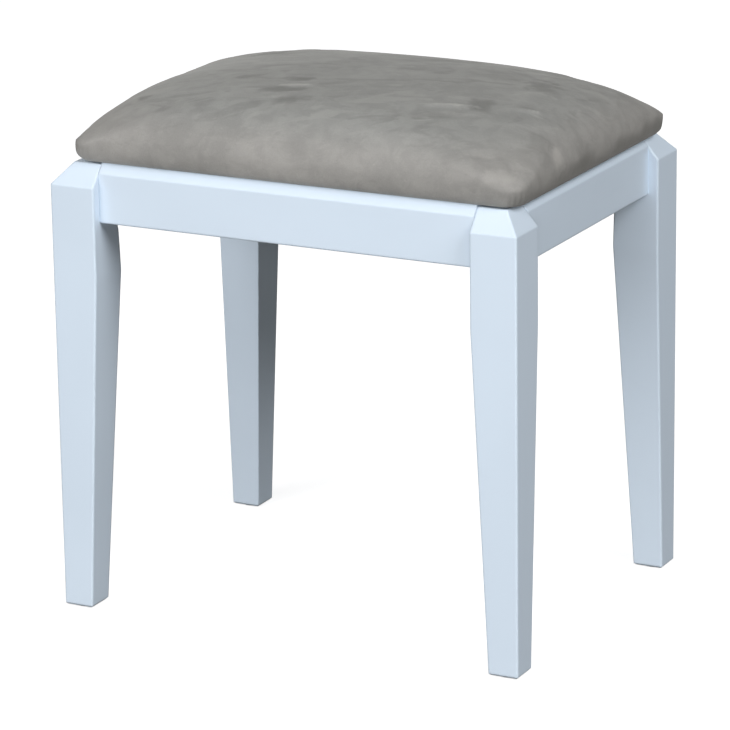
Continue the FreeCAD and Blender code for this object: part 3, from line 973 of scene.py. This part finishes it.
fastenerValues = {
    "halfWidth": 0.2200,
    "halfDepth": 0.1665,
    "screwHeight": 0.3810,
    "blockScrew": {"shank": 0.0020, "length": 0.0220, "head": 0.0040, "headHeight": 0.0026, "pitch": 0.0014},
    "blockScrewAt": (0.0680, 0.0375),
    "seatScrew": {"shank": 0.00225, "length": 0.0512, "head": 0.0045, "headHeight": 0.0030, "pitch": 0.0016},
    "seatScrewAt": (0.058733, 0.038934, 0.3620),
    "boltRadius": 0.0030,
    "boltLength": 0.0648,
    "boltAt": 0.018287,
    "washerAt": 0.056612,
    "washer": {"outer": 0.0090, "hole": 0.0034, "thickness": 0.0016},
    "nut": {"corner": 0.0057735, "hole": 0.0031, "height": 0.0050},
}


def newPiece(name):
    piece = bpy.context.object
    piece.name = name
    bpy.ops.object.transform_apply(location=True, rotation=True, scale=True)
    return piece


def addCylinder(name, radius, low, high, sides):
    deselectAll()
    middle = (low + high) / 2
    bpy.ops.mesh.primitive_cylinder_add(vertices=sides, radius=radius, depth=high - low,
                                        location=(0, 0, middle))
    return newPiece(name)


def pickFaces(piece, test):
    # Leaves edit mode on, with just the wanted faces selected
    takeUp(piece)
    bpy.ops.object.mode_set(mode="EDIT")
    bpy.ops.mesh.select_mode(type="FACE")
    bpy.ops.mesh.select_all(action="DESELECT")
    bpy.ops.object.mode_set(mode="OBJECT")
    for polygon in piece.data.polygons:
        polygon.select = test(polygon)
    bpy.ops.object.mode_set(mode="EDIT")


def leaveEdit():
    bpy.ops.object.mode_set(mode="OBJECT")


def isEnd(face):
    return abs(face.normal.z) > 0.9


def bevelFaces(piece, test, offset, segments):
    pickFaces(piece, test)
    bpy.ops.mesh.bevel(offset=offset, segments=segments, affect="EDGES")
    leaveEdit()


def carve(piece, tool, operation="DIFFERENCE"):
    addModifier(piece, "carve", "BOOLEAN", operation=operation, object=tool, solver="EXACT")
    applyModifier(piece, "carve")
    bpy.data.objects.remove(tool)


def joinPieces(name, parts):
    takeUp(parts[0])
    for part in parts[1:]:
        part.select_set(True)
    bpy.ops.object.join()
    parts[0].name = name
    return parts[0]


def addThread(root, crest, pitch, low, high):
    # Ridge wound round the axis as a closed strip
    size = (crest - root) / 1.5
    deselectAll()
    bpy.ops.mesh.primitive_circle_add(vertices=3, radius=size, location=(root + size / 2 - 0.00005, 0, low),
                                      rotation=(math.pi / 2, math.pi / 2, 0))
    ridge = newPiece("ridge")
    turns = max(1, int((high - low) / pitch))
    addModifier(ridge, "wind", "SCREW", axis="Z", screw_offset=pitch, iterations=turns, steps=14,
                render_steps=14, angle=2 * math.pi)
    applyModifier(ridge, "wind")
    takeUp(ridge)
    bpy.ops.object.mode_set(mode="EDIT")
    bpy.ops.mesh.select_all(action="SELECT")
    bpy.ops.mesh.remove_doubles(threshold=0.000001)
    bpy.ops.mesh.fill_holes(sides=3)
    bpy.ops.mesh.select_all(action="SELECT")
    bpy.ops.mesh.normals_make_consistent(inside=False)
    leaveEdit()
    return ridge


def panHead(radius, height):
    # Crowned head below z = 0, with a cross cut into it
    head = addCylinder("head", radius, -height, 0, 32)
    bevelFaces(head, lambda face: face.normal.z < -0.9, height * 0.6, 5)
    for turn in (0, 90):
        deselectAll()
        bpy.ops.mesh.primitive_cube_add(size=1, location=(0, 0, -height), rotation=(0, 0, math.radians(turn)),
                                        scale=(radius * 1.05, radius * 0.26, height * 1.1))
        bar = newPiece("bar")
        pickFaces(bar, lambda face: face.normal.z > 0.9)
        bpy.ops.transform.resize(value=(0.45, 0.45, 1))
        leaveEdit()
        carve(head, bar)
    return head


def makeScrew(name, size):
    shank = addCylinder("shank", size["shank"] * 0.74, -0.0002, size["length"] - 0.003, 16)
    pickFaces(shank, lambda face: face.normal.z > 0.9)
    bpy.ops.mesh.extrude_region_move(TRANSFORM_OT_translate={"value": (0, 0, 0.0028)})
    bpy.ops.transform.resize(value=(0.12, 0.12, 1))
    leaveEdit()
    thread = addThread(size["shank"] * 0.74, size["shank"], size["pitch"], size["length"] * 0.2,
                       size["length"] - 0.0045)
    return joinPieces(name, [panHead(size["head"], size["headHeight"]), shank, thread])


def makeHangerBolt(name):
    v = fastenerValues
    whole = v["boltLength"]
    core = addCylinder("core", v["boltRadius"] * 0.84, 0.0, whole, 20)
    bevelFaces(core, isEnd, 0.0007, 2)
    plain = addCylinder("plain", v["boltRadius"] * 0.97, whole * 0.44, whole * 0.56, 20)
    wood = addThread(v["boltRadius"] * 0.82, v["boltRadius"], 0.0024, 0.002, whole * 0.43)
    machine = addThread(v["boltRadius"] * 0.82, v["boltRadius"], 0.0010, whole * 0.57, whole - 0.0008)
    return joinPieces(name, [core, plain, wood, machine])


def makeWasher(name):
    size = fastenerValues["washer"]
    washer = addCylinder(name, size["outer"], 0, size["thickness"], 48)
    bevelFaces(washer, isEnd, 0.00025, 2)
    carve(washer, addCylinder("hole", size["hole"], -0.001, size["thickness"] + 0.001, 32))
    return washer


def makeNut(name):
    size = fastenerValues["nut"]
    nut = addCylinder(name, size["corner"], 0, size["height"], 6)
    barrel = addCylinder("barrel", size["corner"] * 1.005, 0, size["height"], 48)
    bevelFaces(barrel, isEnd, size["corner"] * 0.13, 3)
    carve(nut, barrel, "INTERSECT")
    carve(nut, addCylinder("hole", size["hole"], -0.001, size["height"] + 0.001, 32))
    return nut


def standAt(piece, place, direction, spin=0.0):
    way = Vector(direction).normalized()
    turn = way.to_track_quat("Z", "Y").to_matrix().to_4x4()
    piece.data.transform(Matrix.Translation(Vector(place)) @ turn @ Matrix.Rotation(spin, 4, "Z"))


def copiesAt(name, master, stands):
    # One finished piece from copies of the master; stands are places, directions and turns
    parts = []
    for place, direction, spin in stands:
        part = linkNew(name, master.data.copy())
        standAt(part, place, direction, spin)
        parts.append(part)
    bpy.data.objects.remove(master)
    return joinPieces(name, parts)


def fromCorner(side, inX, inY, height):
    v = fastenerValues
    return side[0] * (v["halfWidth"] - inX), side[1] * (v["halfDepth"] - inY), height


def fastenerStands():
    v = fastenerValues
    z = v["screwHeight"]
    stands = {"block_screws": [], "seat_screws": [], "hanger_bolts": [], "bolt_washers": [], "bolt_nuts": []}
    for index, side in enumerate(cornerSides):
        along, across = v["blockScrewAt"]
        inwards = (-side[0], -side[1], 0)
        washer = v["washerAt"]
        nut = washer + v["washer"]["thickness"] / math.sqrt(2)
        bolt = v["boltAt"]
        stands["block_screws"] += [
            (fromCorner(side, along, across, z), (0, side[1], 0), 0.3 + index),
            (fromCorner(side, across, along, z), (side[0], 0, 0), 0.9 + 2 * index),
        ]
        stands["seat_screws"].append((fromCorner(side, *v["seatScrewAt"]), (0, 0, 1), 0.5 + 1.3 * index))
        stands["hanger_bolts"].append((fromCorner(side, bolt, bolt, z), inwards, 0.0))
        stands["bolt_washers"].append((fromCorner(side, washer, washer, z), inwards, 0.0))
        stands["bolt_nuts"].append((fromCorner(side, nut, nut, z), inwards, 0.2 + 0.5 * index))
    return stands


fastenerMakers = {
    "block_screws": ("blockScrews", lambda name: makeScrew(name, fastenerValues["blockScrew"])),
    "seat_screws": ("seatScrews", lambda name: makeScrew(name, fastenerValues["seatScrew"])),
    "hanger_bolts": ("hangerBolts", makeHangerBolt),
    "bolt_washers": ("boltWashers", makeWasher),
    "bolt_nuts": ("boltNuts", makeNut),
}
for nodeName, stands in fastenerStands().items():
    pieceName, maker = fastenerMakers[nodeName]
    fastener = copiesAt(pieceName, maker(pieceName + "Master"), stands)
    smoothShade(fastener, 35)
    dress(fastener, "zinc")
    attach(fastener, "root")
    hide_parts(nodeName)
    print(pieceName, "made:", len(fastener.data.polygons), "faces")


# Studio: four soft lights and the camera of the picture. The floor and the air look white to the camera
# only; to the light the floor is nearly black and the air dim, which keeps the undersides dark.

studioValues = {
    "cameraAzimuth": 27.36,
    "cameraElevation": 16.66,
    "cameraRoll": -0.82,
    "cameraDistance": 3.5667,
    "target": (-0.00454, -0.00173, 0.2032),
    "lens": 200.1,
    "lightColour": (0.985, 0.992, 1.0),
    "lightDistance": 8.0,
    "frontLight": {"azimuth": -15.6, "elevation": 27.3, "size": (6.0, 6.0), "watts": 378.0},
    "sideLight": {"azimuth": 69.6, "elevation": 38.0, "size": (4.52, 4.52), "watts": 400.0},
    "lowLight": {"azimuth": 21.5, "elevation": 9.5, "size": (5.0, 2.6), "watts": 218.0},
    "rearLight": {"azimuth": 207.4, "elevation": 3.5, "size": (6.0, 1.3), "watts": 175.0},
    "lightAim": (0, 0, 0.22),
    "floorSize": 30,
    "floorSeen": (0.55, 0.56, 0.57),
    "floorGlow": 0.80,
    "floorToLight": (0.064, 0.058, 0.047),
    "airToLight": (1.0, 0.960, 0.85),
    "airStrength": 0.045,
}


def outwards(azimuth, elevation):
    # Direction from the stool; azimuth 0 is in front and 90 is to the right
    a = math.radians(azimuth)
    e = math.radians(elevation)
    return Vector((math.sin(a) * math.cos(e), -math.cos(a) * math.cos(e), math.sin(e)))


def makeCamera():
    v = studioValues
    back = outwards(v["cameraAzimuth"], v["cameraElevation"])
    right = (-back).cross(Vector((0, 0, 1))).normalized()
    up = right.cross(-back)
    roll = math.radians(v["cameraRoll"])
    sideways = right * math.cos(roll) + up * math.sin(roll)
    upright = up * math.cos(roll) - right * math.sin(roll)
    data = bpy.data.cameras.new("pictureCamera")
    data.sensor_width = 36.0
    data.lens = v["lens"]
    data.clip_end = 60.0
    camera = linkNew("pictureCamera", data)
    spot = Vector(v["target"]) + back * v["cameraDistance"]
    camera.matrix_world = Matrix.Translation(spot) @ Matrix((sideways, upright, back)).transposed().to_4x4()
    bpy.context.scene.camera = camera


def makeLight(name, light):
    data = bpy.data.lights.new(name, "AREA")
    data.shape = "ELLIPSE" if light["size"][0] == light["size"][1] else "RECTANGLE"
    data.size, data.size_y = light["size"]
    data.energy = light["watts"]
    data.color = studioValues["lightColour"]
    lamp = linkNew(name, data)
    way = outwards(light["azimuth"], light["elevation"])
    spot = Vector(studioValues["lightAim"]) + way * studioValues["lightDistance"]
    lamp.matrix_world = Matrix.Translation(spot) @ way.to_track_quat("Z", "Y").to_matrix().to_4x4()
    lamp.visible_camera = False


def makeFloor():
    v = studioValues
    deselectAll()
    bpy.ops.mesh.primitive_plane_add(size=v["floorSize"], location=(0, 0, 0))
    floor = bpy.context.object
    floor.name = "studioFloor"
    material = bpy.data.materials.new("paleFloor")
    material.use_nodes = True
    tree = material.node_tree
    tree.nodes.clear()
    leave = addNode(tree, "OutputMaterial")
    path = addNode(tree, "LightPath")
    dull = addNode(tree, "BsdfDiffuse", {"Color": (*v["floorToLight"], 1)})
    pale = addNode(tree, "BsdfDiffuse", {"Color": (*v["floorSeen"], 1)})
    glow = addNode(tree, "Emission", {"Color": (1, 1, 1, 1), "Strength": v["floorGlow"]})
    seen = addNode(tree, "AddShader", {0: pale.outputs[0], 1: glow.outputs[0]})
    clear = addNode(tree, "BsdfTransparent")
    toCamera = path.outputs["Is Camera Ray"]
    lit = addNode(tree, "MixShader", {0: toCamera, 1: dull.outputs[0], 2: seen.outputs[0]})
    behind = addNode(tree, "NewGeometry").outputs["Backfacing"]
    whole = addNode(tree, "MixShader", {0: behind, 1: lit.outputs[0], 2: clear.outputs[0]})
    tree.links.new(whole.outputs[0], leave.inputs["Surface"])
    floor.data.materials.append(material)


def makeSky():
    v = studioValues
    world = bpy.data.worlds.new("studioAir")
    bpy.context.scene.world = world
    world.use_nodes = True
    tree = world.node_tree
    tree.nodes.clear()
    leave = addNode(tree, "OutputWorld")
    path = addNode(tree, "LightPath")
    low = addNode(tree, "Background", {"Color": (*v["airToLight"], 1), "Strength": v["airStrength"]})
    high = addNode(tree, "Background", {"Color": (1, 1, 1, 1), "Strength": 1.0})
    toCamera = path.outputs["Is Camera Ray"]
    both = addNode(tree, "MixShader", {0: toCamera, 1: low.outputs[0], 2: high.outputs[0]})
    tree.links.new(both.outputs[0], leave.inputs["Surface"])


makeCamera()
for side in ("front", "side", "low", "rear"):
    makeLight(side + "Softbox", studioValues[side + "Light"])
makeFloor()
makeSky()
bpy.context.scene.view_settings.view_transform = "Standard"
print("studio ready")
